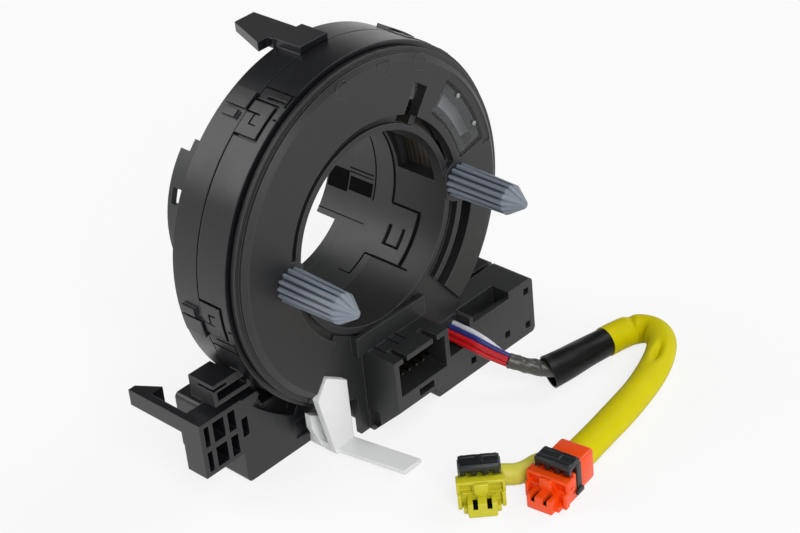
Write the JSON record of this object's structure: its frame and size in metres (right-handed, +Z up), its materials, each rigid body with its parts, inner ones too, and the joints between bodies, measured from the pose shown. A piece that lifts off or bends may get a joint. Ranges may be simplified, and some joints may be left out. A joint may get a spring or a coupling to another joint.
{
  "type": "steering clock spring",
  "caption": "Spiral cable reel for a steering column: a fixed case with a turning hub disc, drive pins, connector blocks and a short airbag lead with squib plugs.",
  "frame": {"origin": "on the steering axis, at the plane of the turning disc's front rim", "axes": "+X to the right seen from the steering wheel, -Y towards the steering wheel along the steering axis, +Z up; the lower box stands on the plane 60.5 mm below the axis"},
  "size_m": [0.1337, 0.1116, 0.1137],
  "materials": {
    "black_case": "satin moulded black plastic",
    "black_rotor": "satin moulded black acetal",
    "grey_plastic": "light grey moulded plastic",
    "white_plastic": "white moulded plastic",
    "pin_grey": "blue grey moulded plastic",
    "clear_lens": "clear plastic window",
    "ribbon": "laminated flat cable",
    "tin_contact": "tinned contacts in a black holder",
    "wire_red": "red wire insulation",
    "wire_blue": "blue wire insulation",
    "wire_white": "white wire insulation",
    "tape": "dark wrapped tape",
    "black_sleeve": "black heat shrink sleeve",
    "yellow_tube": "soft yellow protective tube",
    "orange_plug": "orange moulded plug",
    "yellow_plug": "yellow moulded plug"
  },
  "bodies": {
    "stator": {"stator_case": "black_case", "rear_case": "black_case", "column_terminals": "tin_contact", "slip_sheet": "white_plastic", "ribbon_block_stator": "black_case", "flat_cable": "ribbon"},
    "rotor": {"rotor_disc": "black_rotor", "window_lens": "clear_lens", "cancel_cam": "black_rotor", "drive_pin_left": "pin_grey", "drive_pin_right": "pin_grey", "connector_block": "black_rotor", "wheel_terminals": "tin_contact", "ribbon_block_rotor": "black_case", "wire_red_1": "wire_red", "wire_red_2": "wire_red", "wire_blue": "wire_blue", "wire_white": "wire_white", "tape_wrap": "tape", "harness_sleeve": "black_sleeve", "yellow_tube": "yellow_tube", "branch_tube": "yellow_tube", "orange_plug": "orange_plug", "yellow_plug": "yellow_plug"},
    "carrier": {"carrier_ring": "grey_plastic"},
    "lock": {"lock_tab": "white_plastic"},
    "orange_lock": {"orange_plug_lock": "black_case"},
    "yellow_lock": {"yellow_plug_lock": "black_case"}
  },
  "joints": [
    {"name": "rotor_turn", "type": "hinge", "parent": "stator", "child": "rotor", "pos_m": [0, 0, 0], "axis": [0, -1, 0], "range_deg": [-900, 900], "deforming": ["flat_cable"]},
    {"name": "carrier_turn", "type": "hinge", "parent": "stator", "child": "carrier", "pos_m": [0, 0.011, 0], "axis": [0, -1, 0], "range_deg": [-361, 361]},
    {"name": "lock_pull", "type": "slide", "parent": "rotor", "child": "lock", "axis": [0, -1, 0], "range_m": [0, 0.014]},
    {"name": "orange_lock_push", "type": "slide", "parent": "rotor", "child": "orange_lock", "axis": [0, 0, -1], "range_m": [0, 0.0012]},
    {"name": "yellow_lock_push", "type": "slide", "parent": "rotor", "child": "yellow_lock", "axis": [0, 0, -1], "range_m": [0, 0.0012]}
  ],
  "couplings": [
    {"joint": "carrier_turn", "follows": "rotor_turn", "ratio": 0.4}
  ]
}
